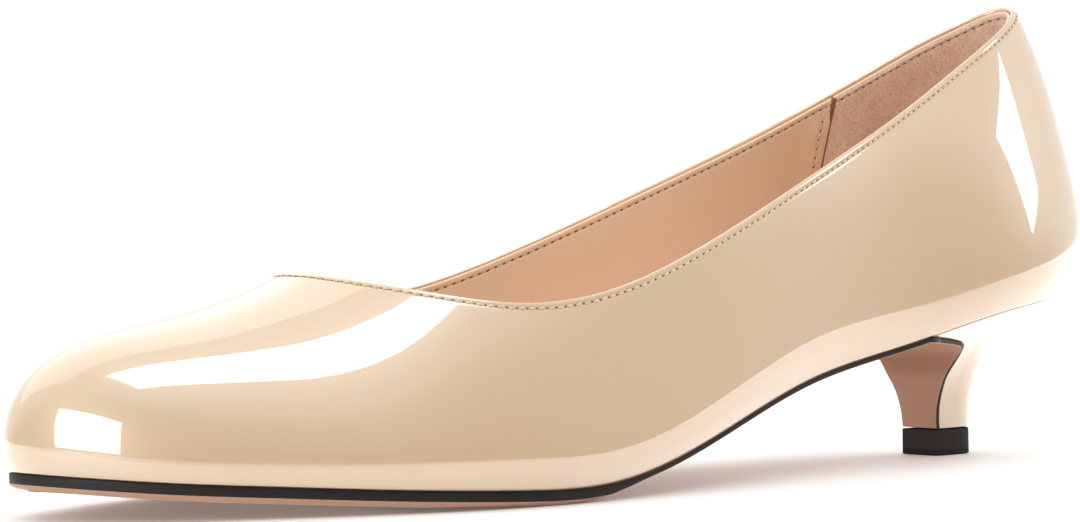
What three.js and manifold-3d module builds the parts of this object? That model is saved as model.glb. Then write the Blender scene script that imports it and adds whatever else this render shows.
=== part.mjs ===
// Kitten heel pump, left shoe: a lasted patent upper, a thin leather sole that laps down
// the breast of a small flared heel, a sock on its board and a rubber top lift.
// Millimetres. The toe points along -Y, the wearer's left is +X, the floor is Z = 0.
// Inside the source a place is given as along (from the back of the heel seat towards
// the toe), across (towards the wearer's left) and up (from the floor).

import * as THREE from 'three';
import { mergeVertices } from 'three/addons/utils/BufferGeometryUtils.js';
import Module from 'manifold-3d';

const wasm = await Module();
wasm.setup();

// Driving sizes of the last, measured on its feather line, where upper and sole meet.
const LENGTH = 243;
const BALL_WIDTH = 76;
const HEEL_HEIGHT = 35.2;
const COLLAR_HEIGHT = 96;
const INSTEP_HEIGHT = 79;

// Driving sizes of the materials.
const WALL = 1.9;
const INSOLE_THICKNESS = 2.6;
const SOLE_THICKNESS = 3.1;
const WAIST_THICKNESS = 1.1;
const FLAP_THICKNESS = 0.9;
const EDGE_HEIGHT = 1.1;
const GAP = 0.3;

// Driving sizes of the heel.
const LIFT_HEIGHT = 5.4;
const LIFT_WIDTH = 10.1;
const LIFT_DEPTH = 12;
const BREAST_AT = 34.2;
const WING_AT = 55;
const HEEL_FLARE = 2.4;

// Sections of the last from heel to toe.
// at: share of the length.
// lateral, medial: feather line, shares of the ball width.
// bottom: feather line's height, share of the heel height.
// ridge: top of the last, share of the instep height.
// collar: side view of the topline, share of the collar height.
// square: exponent of the section, 2 is an ellipse and more is squarer.
// swell, swellAt: bulge of the wall above the feather line and the height that it is
// widest at, shares of the ball width.
// narrow: how much narrower than its section the wall has become at collar height.
const SECTIONS = [
  { at: 0.00, lateral: 0.000, medial: 0.000, bottom: 1.000, ridge: 1.392, collar: 1.000,
    square: 2.89, swell: 0.058, swellAt: 0.183, narrow: 0.29 },
  { at: 0.02, lateral: 0.160, medial: 0.164, bottom: 0.986, ridge: 1.362, collar: 0.992,
    square: 2.37, swell: 0.059, swellAt: 0.171, narrow: 0.31 },
  { at: 0.05, lateral: 0.245, medial: 0.251, bottom: 0.945, ridge: 1.338, collar: 0.956,
    square: 2.06, swell: 0.049, swellAt: 0.156, narrow: 0.32 },
  { at: 0.13, lateral: 0.334, medial: 0.323, bottom: 0.872, ridge: 1.266, collar: 0.850,
    square: 1.86, swell: 0.040, swellAt: 0.116, narrow: 0.35 },
  { at: 0.25, lateral: 0.337, medial: 0.292, bottom: 0.702, ridge: 1.217, collar: 0.708,
    square: 2.09, swell: 0.027, swellAt: 0.105, narrow: 0.18 },
  { at: 0.37, lateral: 0.387, medial: 0.271, bottom: 0.549, ridge: 1.143, collar: 0.591,
    square: 2.37, swell: 0.028, swellAt: 0.105, narrow: 0.03 },
  { at: 0.50, lateral: 0.472, medial: 0.313, bottom: 0.270, ridge: 1.000, collar: 0.468,
    square: 2.41, swell: 0.034, swellAt: 0.092, narrow: -0.01 },
  { at: 0.61, lateral: 0.526, medial: 0.404, bottom: 0.096, ridge: 0.808, collar: 0.387,
    square: 2.19, swell: 0.034, swellAt: 0.079, narrow: 0.00 },
  { at: 0.70, lateral: 0.525, medial: 0.474, bottom: 0.096, ridge: 0.650, collar: 0.386,
    square: 2.06, swell: 0.034, swellAt: 0.080, narrow: 0.00 },
  { at: 0.79, lateral: 0.448, medial: 0.485, bottom: 0.130, ridge: 0.512, collar: 0.447,
    square: 1.96, swell: 0.026, swellAt: 0.079, narrow: 0.03 },
  { at: 0.87, lateral: 0.337, medial: 0.418, bottom: 0.168, ridge: 0.460, collar: 0.495,
    square: 2.08, swell: 0.017, swellAt: 0.072, narrow: 0.05 },
  { at: 0.94, lateral: 0.218, medial: 0.305, bottom: 0.204, ridge: 0.462, collar: 0.620,
    square: 2.37, swell: 0.012, swellAt: 0.066, narrow: 0.00 },
  { at: 1.00, lateral: -0.128, medial: 0.128, bottom: 0.245, ridge: 0.471, collar: 0.750,
    square: 3.10, swell: 0.012, swellAt: 0.067, narrow: -0.10 },
];

// The last's spine, which the walls close onto, runs between these shares of the length.
const SPINE_FROM = 0.158;
const SPINE_TO = 0.691;
const SPINE_SOFTNESS = 0.025;

// Facets of the solids.
const AROUND = 128;
const WALL_ROWS = 11;
const LINING_ROWS = 9;
const ACROSS = 6;

// Cubic spline through the values, with straight ends: the slope and the bend both run on.
function naturalSpline(knots, values) {
  const last = knots.length - 1;
  const bend = new Array(last + 1).fill(0);
  const ratio = new Array(last + 1).fill(0);
  for (let i = 1; i < last; i += 1) {
    const before = knots[i] - knots[i - 1];
    const after = knots[i + 1] - knots[i];
    const turn = (values[i + 1] - values[i]) / after - (values[i] - values[i - 1]) / before;
    const pivot = 2 * (before + after) - before * ratio[i - 1];
    ratio[i] = after / pivot;
    bend[i] = (6 * turn - before * bend[i - 1]) / pivot;
  }
  for (let i = last - 1; i > 0; i -= 1) bend[i] -= ratio[i] * bend[i + 1];
  return (x) => {
    let i = 0;
    while (i < last - 1 && x > knots[i + 1]) i += 1;
    const span = knots[i + 1] - knots[i];
    const b = (x - knots[i]) / span;
    const a = 1 - b;
    const curve = ((a ** 3 - a) * bend[i] + (b ** 3 - b) * bend[i + 1]) * span * span / 6;
    return a * values[i] + b * values[i + 1] + curve;
  };
}

function column(name, scale) {
  const knots = SECTIONS.map((row) => row.at * LENGTH);
  return naturalSpline(knots, SECTIONS.map((row) => row[name] * scale));
}

const bottomAt = column('bottom', HEEL_HEIGHT);
const ridgeAt = column('ridge', INSTEP_HEIGHT);
const collarAt = column('collar', COLLAR_HEIGHT);
const squareAt = column('square', 1);
const swellAt = column('swell', BALL_WIDTH);
const swellHeightAt = column('swellAt', BALL_WIDTH);
const narrowAt = column('narrow', 1);

const HALF_TURN = Math.PI / 2;

function mix(a, b, share) {
  return a + (b - a) * share;
}

// Smooth step from 0 to 1 between the two places.
function ease(from, to, x) {
  const share = Math.min(1, Math.max(0, (x - from) / (to - from)));
  return share * share * (3 - 2 * share);
}

function solve(low, high, tooLow) {
  let below = low;
  let above = high;
  for (let i = 0; i < 40; i += 1) {
    const middle = (below + above) / 2;
    if (tooLow(middle)) below = middle;
    else above = middle;
  }
  return (below + above) / 2;
}

// The feather line is one closed curve through the sections' edges. Its parameter runs
// 0 to 1 from heel to toe on the lateral side and 1 to 2 back to the heel on the medial side.
function featherLine() {
  const inner = SECTIONS.slice(1, -1);
  const tip = SECTIONS[SECTIONS.length - 1];
  const points = [
    { along: 0, across: 0 },
    ...inner.map((row) => ({ along: row.at * LENGTH, across: row.lateral * BALL_WIDTH })),
    { along: LENGTH, across: tip.lateral * BALL_WIDTH },
    ...inner.map((row) => ({ along: row.at * LENGTH, across: -row.medial * BALL_WIDTH })).reverse(),
  ];
  const count = points.length;
  const knots = [0];
  for (let i = 1; i <= count; i += 1) {
    const here = points[i % count];
    const before = points[i - 1];
    knots.push(knots[i - 1] + Math.hypot(here.along - before.along, here.across - before.across));
  }
  const around = knots[count];
  const toTip = knots[inner.length + 1];
  const turns = [-1, 0, 1];
  const wound = turns.flatMap((turn) => points.map((_, i) => knots[i] + turn * around));
  const repeated = turns.flatMap(() => points);
  const along = naturalSpline(wound, repeated.map((point) => point.along));
  const across = naturalSpline(wound, repeated.map((point) => point.across));
  return (edge) => {
    const run = edge < 1 ? edge * toTip : toTip + (edge - 1) * (around - toTip);
    return { along: along(run), across: across(run) };
  };
}

const featherAt = featherLine();

// A point of the feather line with its outward direction in plan.
function edgePoint(edge) {
  const here = featherAt(edge);
  const step = 1e-4;
  const next = featherAt(edge + step);
  const before = featherAt(edge - step);
  const forward = next.along - before.along;
  const sideways = next.across - before.across;
  const length = Math.hypot(forward, sideways);
  return { ...here, outAlong: -sideways / length, outAcross: forward / length };
}

// The feather line's two ends. The tip of the toe lies beside the last section, so the
// line runs on a little beyond it.
function runsForward(edge) {
  const step = 1e-4;
  return featherAt(edge + step).along > featherAt(edge - step).along;
}

const HEEL_EDGE = solve(-0.1, 0.1, (edge) => !runsForward(edge));
const TOE_EDGE = solve(0.9, 1.1, runsForward);
const HEEL_END = featherAt(HEEL_EDGE).along;
const TOE_END = featherAt(TOE_EDGE).along;

// The parameter of the feather line where it passes a place along the last.
function edgeAt(along, side) {
  if (side > 0) return solve(HEEL_EDGE, TOE_EDGE, (edge) => featherAt(edge).along < along);
  return solve(TOE_EDGE, 2 + HEEL_EDGE, (edge) => featherAt(edge).along > along);
}

// Vectors are across, minus along, up: that is X, Y, Z with the toe towards -Y.
function place(along, across, up) {
  return new THREE.Vector3(across, -along, up);
}

function softened(x) {
  const softness = SPINE_SOFTNESS * LENGTH;
  return softness * Math.log1p(Math.exp(x / softness));
}

// The outside of the last at an angle above the feather line: 0 is the feather line and
// a quarter turn is the ridge. The wall rises as a superellipse, swells and narrows.
function wallPoint(edge, angle) {
  const foot = edgePoint(edge);
  const from = SPINE_FROM * LENGTH;
  const to = SPINE_TO * LENGTH;
  const spine = to - softened(to - (from + softened(foot.along - from)));
  const power = 2 / squareAt(foot.along);
  const reach = Math.cos(angle) ** power;
  const along = spine + (foot.along - spine) * reach;
  const bottom = bottomAt(foot.along);
  const height = (ridgeAt(along) - bottom) * Math.sin(angle) ** power;
  const step = height / swellHeightAt(foot.along);
  const out = swellAt(foot.along) * 2 * step / (1 + step * step);
  const narrowed = 1 - narrowAt(foot.along) * (height / (COLLAR_HEIGHT - HEEL_HEIGHT)) ** 2;
  const across = foot.across * reach * narrowed;
  const point = place(along + foot.outAlong * out, across + foot.outAcross * out, bottom + height);
  return { point, aboveCollar: bottom + height - collarAt(along) };
}

// The angle at which the wall reaches the topline.
function collarAngle(edge) {
  const steps = 90;
  let reached = 1;
  while (reached < steps && wallPoint(edge, HALF_TURN * reached / steps).aboveCollar < 0) reached += 1;
  const low = HALF_TURN * (reached - 1) / steps;
  return solve(low, HALF_TURN * reached / steps, (angle) => wallPoint(edge, angle).aboveCollar < 0);
}

// A point of the wall moved inwards through its thickness.
function shellPoint(edge, angle, depth) {
  const step = 1e-3;
  const here = wallPoint(edge, angle).point;
  const around = wallPoint(edge + step, angle).point.sub(wallPoint(edge - step, angle).point);
  const upwards = wallPoint(edge, angle + step).point.sub(here);
  const outwards = upwards.cross(around).normalize();
  return here.addScaledVector(outwards, -depth);
}

// The angle at which the wall has risen by a height above the feather line.
function angleAtHeight(edge, height) {
  const bottom = bottomAt(featherAt(edge).along);
  return solve(0, HALF_TURN / 2, (angle) => wallPoint(edge, angle).point.z - bottom < height);
}

function signedVolume(points, faces) {
  const normal = new THREE.Vector3();
  return faces.reduce((sum, [a, b, c]) => sum + points[a].dot(normal.crossVectors(points[b], points[c])) / 6, 0);
}

// A closed body from points and triangles, turned so that its faces point out.
function solidGeometry(points, faces) {
  const outwards = signedVolume(points, faces) > 0;
  const order = outwards ? faces.flat() : faces.flatMap(([a, b, c]) => [a, c, b]);
  const geometry = new THREE.BufferGeometry();
  geometry.setAttribute('position', new THREE.Float32BufferAttribute(points.flatMap((p) => p.toArray()), 3));
  geometry.setIndex(order);
  return geometry;
}

function quad(faces, a, b, c, d) {
  faces.push([a, b, c], [a, c, d]);
}

// A ring-shaped body: each row is a closed loop, and the last row joins the first.
function ringSolid(rows) {
  const size = rows[0].length;
  const faces = [];
  rows.forEach((row, r) => {
    const next = (r + 1) % rows.length;
    row.forEach((_, i) => {
      const j = (i + 1) % size;
      quad(faces, r * size + i, r * size + j, next * size + j, next * size + i);
    });
  });
  return solidGeometry(rows.flat(), faces);
}

// A body lofted through loops. A loop goes down its lateral half and back up its medial
// half, so the end caps are strips between the two halves.
function loftSolid(rows) {
  const size = rows[0].length;
  const faces = [];
  for (let r = 0; r < rows.length - 1; r += 1) {
    for (let i = 0; i < size; i += 1) {
      const j = (i + 1) % size;
      quad(faces, r * size + i, r * size + j, (r + 1) * size + j, (r + 1) * size + i);
    }
  }
  const end = (rows.length - 1) * size;
  for (let i = 0; i < size / 2 - 1; i += 1) {
    quad(faces, i, size - 1 - i, size - 2 - i, i + 1);
    quad(faces, end + i, end + i + 1, end + size - 2 - i, end + size - 1 - i);
  }
  return solidGeometry(rows.flat(), faces);
}

// Shares of the half width of a rib, from beside the middle to the edge.
const RIB = Array.from({ length: ACROSS / 2 + 1 }, (_, i) => (2 * i + 1) / (ACROSS + 1));

function loop(half) {
  return [...half(1), ...half(-1).reverse()];
}

function between(middle, edge, share) {
  return middle.clone().lerp(edge, share);
}

// Upper: the wall from the feather line to the topline, its lining side, and the two rims.
function makeUpper() {
  const edges = Array.from({ length: AROUND }, (_, i) => 2 * i / AROUND);
  const tops = edges.map(collarAngle);
  const rows = [];
  for (let r = 0; r < WALL_ROWS; r += 1) {
    const share = (r / (WALL_ROWS - 1)) ** 1.4;
    rows.push(edges.map((edge, i) => shellPoint(edge, tops[i] * share, 0)));
  }
  for (let r = LINING_ROWS - 1; r >= 0; r -= 1) {
    const share = (r / (LINING_ROWS - 1)) ** 1.4;
    rows.push(edges.map((edge, i) => {
      const point = shellPoint(edge, tops[i] * share, WALL);
      if (r === 0) point.z = bottomAt(featherAt(edge).along);
      return point;
    }));
  }
  return ringSolid(rows);
}

// Places along the last between two ends, closer together towards a rounded end.
function spaced(from, to, count, roundedFrom, roundedTo) {
  return Array.from({ length: count }, (_, i) => {
    const share = i / (count - 1);
    let eased = share;
    if (roundedFrom && roundedTo) eased = (1 - Math.cos(Math.PI * share)) / 2;
    else if (roundedTo) eased = 1 - (1 - share) ** 2;
    return mix(from, to, eased);
  });
}

const TIP_MARGIN = 0.05;
const INSOLE_DISH = 0.8;
const INSOLE_GAP = 0.4;

// Insole: board and sock, as wide as the inside of the wall, dished across.
function makeInsole() {
  const inset = WALL + INSOLE_GAP;
  const rows = spaced(HEEL_END + TIP_MARGIN, TOE_END - TIP_MARGIN, 44, true, true).map((along) => {
    const edges = [edgeAt(along, 1), edgeAt(along, -1)];
    const tops = edges.map((edge) => shellPoint(edge, angleAtHeight(edge, INSOLE_THICKNESS), inset));
    const feet = edges.map((edge) => shellPoint(edge, 0, inset).setZ(bottomAt(along)));
    const middleTop = between(tops[0], tops[1], 0.5);
    const middleFoot = between(feet[0], feet[1], 0.5);
    return loop((side) => {
      const top = tops[side > 0 ? 0 : 1];
      const foot = feet[side > 0 ? 0 : 1];
      const upper = RIB.map((share) => {
        const point = between(middleTop, top, share);
        point.z -= INSOLE_DISH * (1 - share * share);
        return point;
      });
      const lower = RIB.map((share) => between(middleFoot, foot, share)).reverse();
      return [...upper, ...lower];
    });
  });
  return loftSolid(rows);
}

// Half of the heel's foot and of the top lift in plan, from front corner to back.
const LIFT_STRAIGHT = 0.4;
const LIFT_SQUARE = 2.6;

function liftPoint(share, extra) {
  const straight = LIFT_DEPTH * LIFT_STRAIGHT;
  if (share < LIFT_STRAIGHT) {
    const back = mix(-extra, straight, share / LIFT_STRAIGHT);
    return { along: BREAST_AT - back, across: LIFT_WIDTH / 2 };
  }
  const angle = HALF_TURN * (share - LIFT_STRAIGHT) / (1 - LIFT_STRAIGHT);
  const power = 2 / LIFT_SQUARE;
  return {
    along: BREAST_AT - straight - (LIFT_DEPTH - straight) * Math.sin(angle) ** power,
    across: LIFT_WIDTH / 2 * Math.max(0, Math.cos(angle)) ** power,
  };
}

// The heel's side below a place on the seat's edge. share runs from ahead of the breast
// to the back of the heel, and down from the seat to the top lift. The side sweeps in
// fast under the seat and then stands nearly upright.
const SEAT_INSET = 0.4;
const HEEL_FRONT = 60;
const FRONT_EXTRA = 3;
const HEEL_FOOT = LIFT_HEIGHT + GAP;

function heelSide(share, down, side) {
  const front = edgeAt(HEEL_FRONT, side);
  const back = side > 0 ? HEEL_EDGE : 2 + HEEL_EDGE;
  const seat = edgePoint(mix(front, back, share));
  const foot = liftPoint(share, FRONT_EXTRA);
  const swept = 1 - (1 - down) ** HEEL_FLARE;
  const along = mix(seat.along - seat.outAlong * SEAT_INSET, foot.along, swept);
  const across = mix(seat.across - seat.outAcross * SEAT_INSET, foot.across * side, swept);
  return place(along, across, mix(bottomAt(seat.along) - GAP, HEEL_FOOT, down));
}

// How far out the heel's side stands at a place ahead of or beside the breast.
function heelReach(along, up, side) {
  const sample = (share) => {
    const seat = heelSide(share, 0, side).z;
    return heelSide(share, Math.min(1, Math.max(0, (seat - up) / (seat - HEEL_FOOT))), side);
  };
  const share = solve(0, 1, (value) => -sample(value).y > along);
  return Math.abs(sample(share).x);
}

// Underside of the sole where it leaves the waist and laps down the heel breast.
// ahead: from the breast (0) to the wing of the heel (1).
// up: from the top lift (0) to the waist's underside at the wing (1).
// arch: how far the middle stands closer to the insole than the edges, share of ARCH.
const ARCH = 2.4;
const FLAP = [
  { ahead: 1.000, up: 1.000, arch: 0.00 },
  { ahead: 0.712, up: 0.979, arch: 0.15 },
  { ahead: 0.466, up: 0.955, arch: 0.50 },
  { ahead: 0.245, up: 0.928, arch: 0.92 },
  { ahead: 0.123, up: 0.894, arch: 1.00 },
  { ahead: 0.067, up: 0.840, arch: 0.90 },
  { ahead: 0.050, up: 0.761, arch: 0.65 },
  { ahead: 0.053, up: 0.601, arch: 0.28 },
  { ahead: 0.036, up: 0.473, arch: 0.12 },
  { ahead: 0.022, up: 0.335, arch: 0.04 },
  { ahead: 0.010, up: 0.149, arch: 0.00 },
  { ahead: 0.000, up: 0.000, arch: 0.00 },
];
const WAIST_FROM = 0.655;
const WAIST_TO = 0.56;

function soleThickness(along) {
  return mix(WAIST_THICKNESS, SOLE_THICKNESS, ease(WAIST_TO * LENGTH, WAIST_FROM * LENGTH, along));
}

// The flap's profile as a curve: share 0 at the wing of the heel and 1 at the top lift.
function flapProfile() {
  const wingUnderside = bottomAt(WING_AT) - GAP - WAIST_THICKNESS;
  const alongs = FLAP.map((row) => mix(BREAST_AT, WING_AT, row.ahead));
  const ups = FLAP.map((row) => mix(HEEL_FOOT, wingUnderside, row.up));
  const knots = [0];
  for (let i = 1; i < FLAP.length; i += 1) {
    knots.push(knots[i - 1] + Math.hypot(alongs[i] - alongs[i - 1], ups[i] - ups[i - 1]));
  }
  const length = knots[FLAP.length - 1];
  const along = naturalSpline(knots, alongs);
  const up = naturalSpline(knots, ups);
  const arch = naturalSpline(knots, FLAP.map((row) => row.arch * ARCH));
  return (share) => {
    const run = share * length;
    const step = 0.05;
    const forward = along(run + step) - along(run - step);
    const rise = up(run + step) - up(run - step);
    const size = Math.hypot(forward, rise);
    return {
      along: along(run),
      up: up(run),
      arch: arch(run),
      inAlong: rise / size,
      inUp: -forward / size,
      thickness: mix(WAIST_THICKNESS, FLAP_THICKNESS, ease(0.1, 0.6, share)),
    };
  };
}

const flapAt = flapProfile();
const FLAP_SHARES = Array.from({ length: 30 }, (_, i) => i / 29);

const EDGE_INSET = 0.2;
const PAINTED_MOST = 0.85;
const BEVEL_HEIGHT = 0.5;
const BEVEL_INSET = [0.15, 0.5];
const UNDER_INSET = [0.4, 4];

// One cross section of the sole: an upper face, an upright painted edge, a small bevel,
// and an underside that rounds in to the tread.
function soleLoop(edgePointOf, undersideOf) {
  const mid = [0, 1, 2, 3].map((level) => between(edgePointOf(1, level), edgePointOf(-1, level), 0.5));
  return loop((side) => {
    const upper = RIB.map((share) => between(mid[0], edgePointOf(side, 0), share));
    const sides = [edgePointOf(side, 1), edgePointOf(side, 2)];
    const lower = RIB.map((share) => between(mid[3], edgePointOf(side, 3), share)).reverse();
    return [...upper, ...sides, ...lower].map((point, i) => undersideOf(point, i < RIB.length + 2));
  });
}

// The four levels of the sole's edge under a place on the feather line.
function foreSoleEdge(along, side, level) {
  const foot = edgePoint(edgeAt(along, side));
  const top = bottomAt(along) - GAP;
  const thickness = soleThickness(along);
  const tread = ease(WAIST_TO * LENGTH, WAIST_FROM * LENGTH, along);
  const inset = EDGE_INSET + [0, 0, mix(...BEVEL_INSET, tread), mix(...UNDER_INSET, tread)][level];
  const painted = Math.min(EDGE_HEIGHT, thickness * PAINTED_MOST);
  const bevel = mix(painted, thickness, BEVEL_HEIGHT);
  const up = top - [0, painted, bevel, thickness][level];
  return place(foot.along - foot.outAlong * inset, foot.across - foot.outAcross * inset, Math.max(0, up));
}

// The same four levels beside the flap, where the edge lies flush with the heel's side.
function flapEdge(share, side, level) {
  const here = flapAt(share);
  const depth = here.thickness * [1, 0.15, 0.05, 0][level];
  const reach = heelReach(here.along, here.up + here.inUp * here.thickness * 0.5, side);
  const foot = edgePoint(edgeAt(here.along, side));
  const beside = ease(WING_AT, WING_AT - 7, here.along);
  const width = mix(Math.abs(foot.across) - EDGE_INSET, reach, beside);
  const inset = [0, 0, 0.15, 0.4][level];
  return place(here.along + here.inAlong * depth, side * (width - inset), here.up + here.inUp * depth);
}

// Moves a point of the flap towards the insole by the arch of the middle.
function arched(point, share) {
  const here = flapAt(share);
  const width = heelReach(here.along, here.up, 1);
  const rise = here.arch * Math.max(0, 1 - (point.x / width) ** 2);
  return place(-point.y + here.inAlong * rise, point.x, point.z + here.inUp * rise);
}

function makeOutsole() {
  const fore = spaced(WING_AT + 3, TOE_END - TIP_MARGIN, 36, false, true).reverse();
  const foreRows = fore.map((along) => soleLoop(
    (side, level) => foreSoleEdge(along, side, level),
    (point) => point,
  ));
  const flapRows = FLAP_SHARES.map((share) => soleLoop(
    (side, level) => flapEdge(share, side, level),
    (point) => arched(point, share),
  ));
  return loftSolid([...foreRows, ...flapRows]);
}

function toManifold(geometry) {
  const merged = mergeVertices(geometry);
  return new wasm.Manifold(new wasm.Mesh({
    numProp: 3,
    vertProperties: new Float32Array(merged.attributes.position.array),
    triVerts: new Uint32Array(merged.index.array),
  }));
}

function fromManifold(solid) {
  const mesh = solid.getMesh();
  const geometry = new THREE.BufferGeometry();
  geometry.setAttribute('position', new THREE.BufferAttribute(new Float32Array(mesh.vertProperties), 3));
  geometry.setIndex(Array.from(mesh.triVerts));
  return geometry;
}

// The heel before its breast is cut: from the seat down to the top lift.
function heelBody() {
  const rowCount = 34;
  const downs = Array.from({ length: 11 }, (_, i) => (i / 10) ** 1.3);
  const shares = Array.from({ length: rowCount }, (_, i) => Math.min(0.995, i / (rowCount - 1)));
  const rows = shares.map((share) => loop((side) => {
    const seat = heelSide(share, 0, side);
    const foot = heelSide(share, 1, side);
    const seatMiddle = between(heelSide(share, 0, 1), heelSide(share, 0, -1), 0.5);
    const footMiddle = between(heelSide(share, 1, 1), heelSide(share, 1, -1), 0.5);
    const sides = downs.map((down) => heelSide(share, down, side));
    return [between(seatMiddle, seat, 0.3), ...sides, between(footMiddle, foot, 0.3)];
  }));
  return loftSolid(rows);
}

// Everything ahead of the heel's breast: what the sole and a gap behind it take away.
function breastCutter() {
  const wide = BALL_WIDTH;
  const away = { along: 2 * (WING_AT - BREAST_AT), up: -HEEL_HEIGHT / 3 };
  const shares = [-0.35, ...FLAP_SHARES, 1.1];
  const across = [1, 0.36, 0.29, 0.22, 0.15, 0.09, 0.03];
  const rows = shares.map((share) => {
    const here = flapAt(Math.min(1, Math.max(0, share)));
    const beyond = share - Math.min(1, Math.max(0, share));
    const depth = here.thickness + GAP;
    const run = beyond * wide;
    return loop((side) => {
      const faces = across.map((out) => {
        const x = side * out * wide;
        const width = heelReach(here.along, here.up, 1);
        const rise = depth + here.arch * Math.max(0, 1 - (x / width) ** 2);
        return place(here.along + here.inAlong * rise + here.inUp * -run, x, here.up + here.inUp * rise + here.inAlong * run);
      }).reverse();
      const far = faces.map((point) => place(-point.y + away.along, point.x, point.z + away.up)).reverse();
      return [...faces, ...far];
    });
  });
  return loftSolid(rows);
}

function makeHeel() {
  return fromManifold(toManifold(heelBody()).subtract(toManifold(breastCutter())));
}

function makeTopLift() {
  const shares = Array.from({ length: 17 }, (_, i) => i / 16);
  const half = shares.map((share) => liftPoint(share, 0));
  const outline = new THREE.Shape([
    ...half.map((point) => new THREE.Vector2(point.across, -point.along)),
    ...half.slice(0, -1).reverse().map((point) => new THREE.Vector2(-point.across, -point.along)),
  ]);
  return new THREE.ExtrudeGeometry(outline, { depth: LIFT_HEIGHT, bevelEnabled: false });
}

const patent = new THREE.MeshStandardMaterial({ color: '#dfc9a9', roughness: 0.08, metalness: 0 });
const sock = new THREE.MeshStandardMaterial({ color: '#dcae92', roughness: 0.6, metalness: 0 });
const soleLeather = new THREE.MeshStandardMaterial({ color: '#b58a70', roughness: 0.55, metalness: 0 });
const rubber = new THREE.MeshStandardMaterial({ color: '#1d1a19', roughness: 0.7, metalness: 0 });

function piece(name, geometry, material) {
  const mesh = new THREE.Mesh(geometry, material);
  mesh.name = name;
  return mesh;
}

const shoe = new THREE.Group();
shoe.add(
  piece('upper', makeUpper(), patent),
  piece('insole', makeInsole(), sock),
  piece('outsole', makeOutsole(), soleLeather),
  piece('heel', makeHeel(), patent),
  piece('top_lift', makeTopLift(), rubber),
);

// The origin is under the middle of the shoe, on the floor.
const middle = new THREE.Box3().setFromObject(shoe).getCenter(new THREE.Vector3());
shoe.position.set(-middle.x, -middle.y, 0);

export default shoe;
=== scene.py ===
# Kitten heel pump, left shoe, in nude patent leather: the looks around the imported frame.
# Shapes are worked out in millimetres, in the places that the part's source uses: along
# (from the back of the heel seat towards the toe), across (towards the wearer's left)
# and up (from the floor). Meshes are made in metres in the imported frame.
import math

import bpy
import numpy as np
from mathutils import Matrix, Vector


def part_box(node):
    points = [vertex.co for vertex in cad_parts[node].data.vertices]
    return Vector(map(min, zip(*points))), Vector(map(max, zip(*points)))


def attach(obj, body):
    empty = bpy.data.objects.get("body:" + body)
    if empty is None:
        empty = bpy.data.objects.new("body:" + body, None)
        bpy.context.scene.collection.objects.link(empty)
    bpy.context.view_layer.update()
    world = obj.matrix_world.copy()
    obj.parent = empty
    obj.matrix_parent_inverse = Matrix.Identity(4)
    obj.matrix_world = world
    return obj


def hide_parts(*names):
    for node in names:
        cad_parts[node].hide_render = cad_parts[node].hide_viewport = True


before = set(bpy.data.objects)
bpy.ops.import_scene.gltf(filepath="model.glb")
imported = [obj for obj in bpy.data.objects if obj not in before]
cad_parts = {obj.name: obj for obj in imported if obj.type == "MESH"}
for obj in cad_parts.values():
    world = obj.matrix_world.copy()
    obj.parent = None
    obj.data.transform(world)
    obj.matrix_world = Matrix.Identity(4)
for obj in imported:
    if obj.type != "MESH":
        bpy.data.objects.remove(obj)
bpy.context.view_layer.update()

MM = 0.001

# Sizes of the last, of its materials and of the heel, as in the part's source.
LENGTH = 243
BALL_WIDTH = 76
HEEL_HEIGHT = 35.2
COLLAR_HEIGHT = 96
INSTEP_HEIGHT = 79
WALL = 1.9
INSOLE_THICKNESS = 2.6
SOLE_THICKNESS = 3.1
WAIST_THICKNESS = 1.1
FLAP_THICKNESS = 0.9
GAP = 0.3
LIFT_HEIGHT = 5.4
LIFT_WIDTH = 10.1
LIFT_DEPTH = 12
BREAST_AT = 34.2
WING_AT = 55
HEEL_FLARE = 2.4

# Sizes of what only the looks have.
LEATHER = 1.05
LINING_DEPTH = 1.15
LINING_DROP = 0.4
GRIP_DEPTH = 2.25
LAP_DEPTH = 3.0
LAP_LIP = 0.3
EDGE_PAINTED = 1.85
SEAM_STITCH_AT = 1.9
GRIP_SEAM_AT = 44.3
STITCH_DROP = 1.4
INNER_ROW_LOWER = 0.3
STITCH_PITCH = 1.95

# Sections of the last from heel to toe: at is a share of the length, half widths and swell
# are shares of the ball width, and bottom, ridge and collar of the heel, instep and collar
# height. Square is the power of the section's curve, narrow is how far it closes upwards.
SECTION_COLUMNS = "at lateral medial bottom ridge collar square swell swell_at narrow".split()
SECTIONS = (
    (0.00, 0.000, 0.000, 1.000, 1.392, 1.000, 2.89, 0.058, 0.183, 0.29),
    (0.02, 0.160, 0.164, 0.986, 1.362, 0.992, 2.37, 0.059, 0.171, 0.31),
    (0.05, 0.245, 0.251, 0.945, 1.338, 0.956, 2.06, 0.049, 0.156, 0.32),
    (0.13, 0.334, 0.323, 0.872, 1.266, 0.850, 1.86, 0.040, 0.116, 0.35),
    (0.25, 0.337, 0.292, 0.702, 1.217, 0.708, 2.09, 0.027, 0.105, 0.18),
    (0.37, 0.387, 0.271, 0.549, 1.143, 0.591, 2.37, 0.028, 0.105, 0.03),
    (0.50, 0.472, 0.313, 0.270, 1.000, 0.468, 2.41, 0.034, 0.092, -0.01),
    (0.61, 0.526, 0.404, 0.096, 0.808, 0.387, 2.19, 0.034, 0.079, 0.00),
    (0.70, 0.525, 0.474, 0.096, 0.650, 0.386, 2.06, 0.034, 0.080, 0.00),
    (0.79, 0.448, 0.485, 0.130, 0.512, 0.447, 1.96, 0.026, 0.079, 0.03),
    (0.87, 0.337, 0.418, 0.168, 0.460, 0.495, 2.08, 0.017, 0.072, 0.05),
    (0.94, 0.218, 0.305, 0.204, 0.462, 0.620, 2.37, 0.012, 0.066, 0.00),
    (1.00, -0.128, 0.128, 0.245, 0.471, 0.750, 3.10, 0.012, 0.067, -0.10),
)
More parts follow.
